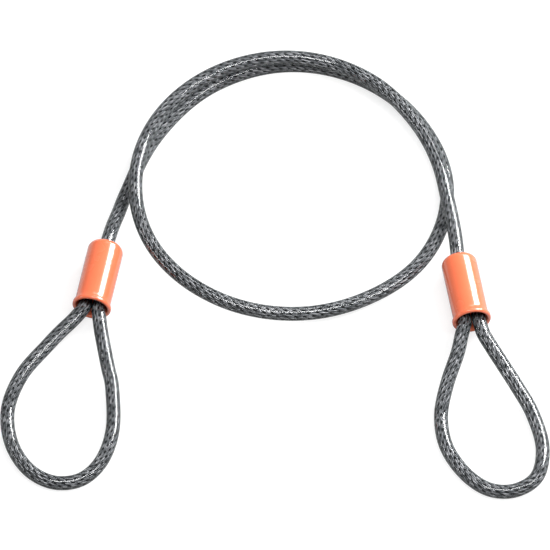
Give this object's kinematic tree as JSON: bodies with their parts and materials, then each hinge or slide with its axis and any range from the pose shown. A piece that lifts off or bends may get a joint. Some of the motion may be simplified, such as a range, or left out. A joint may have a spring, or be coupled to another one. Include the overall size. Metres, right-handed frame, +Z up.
{
  "type": "cable lock",
  "caption": "Wire rope security cable under a clear cover, coiled, with an eye at each end held by a pressed ferrule under a soft orange sleeve.",
  "frame": {"origin": "middle of the coil, on the table it lies on", "axes": "+Z up, +X across the coil to the right-hand end, and the two ends leave the coil towards -Y"},
  "size_m": [0.1923, 0.1838, 0.0139],
  "materials": {
    "wire_rope": "galvanised wires, satin",
    "clear_cover": "clear soft vinyl, glossy",
    "ferrule": "pressed aluminium",
    "sleeve": "glossy soft orange vinyl, bare"
  },
  "bodies": {
    "coil": {"coil_rope": "wire_rope", "coil_cover": "clear_cover"},
    "left_end": {"left_neck_rope": "wire_rope", "left_neck_cover": "clear_cover", "left_ferrule": "ferrule", "left_ferrule_ropes": "wire_rope", "left_sleeve": "sleeve", "left_leg_ropes": "wire_rope", "left_leg_covers": "clear_cover"},
    "left_loop": {"left_loop_rope": "wire_rope", "left_loop_cover": "clear_cover"},
    "right_end": {"right_neck_rope": "wire_rope", "right_neck_cover": "clear_cover", "right_ferrule": "ferrule", "right_ferrule_ropes": "wire_rope", "right_sleeve": "sleeve", "right_leg_ropes": "wire_rope", "right_leg_covers": "clear_cover"},
    "right_loop": {"right_loop_rope": "wire_rope", "right_loop_cover": "clear_cover"}
  },
  "joints": [
    {"name": "left_end_swing", "type": "hinge", "parent": "coil", "child": "left_end", "pos_m": [-0.0618, -0.0145, 0.0045], "axis": [0, 0, 1], "range_deg": [-45, 15], "stiffness_Nm_per_rad": 0.6, "deforming": ["left_neck_rope", "left_neck_cover"]},
    {"name": "left_loop_lift", "type": "hinge", "parent": "left_end", "child": "left_loop", "pos_m": [-0.0707, -0.0564, 0.0068], "axis": [-0.9803, 0.1977, 0], "range_deg": [0, 45], "stiffness_Nm_per_rad": 1.5, "deforming": ["left_leg_ropes", "left_leg_covers"]},
    {"name": "right_end_swing", "type": "hinge", "parent": "coil", "child": "right_end", "pos_m": [0.0577, -0.018, 0.0075], "axis": [0, 0, 1], "range_deg": [-15, 45], "stiffness_Nm_per_rad": 0.6, "deforming": ["right_neck_rope", "right_neck_cover"]},
    {"name": "right_loop_lift", "type": "hinge", "parent": "right_end", "child": "right_loop", "pos_m": [0.0647, -0.062, 0.0068], "axis": [-0.9836, -0.1805, 0], "range_deg": [0, 45], "stiffness_Nm_per_rad": 1.5, "deforming": ["right_leg_ropes", "right_leg_covers"]}
  ]
}
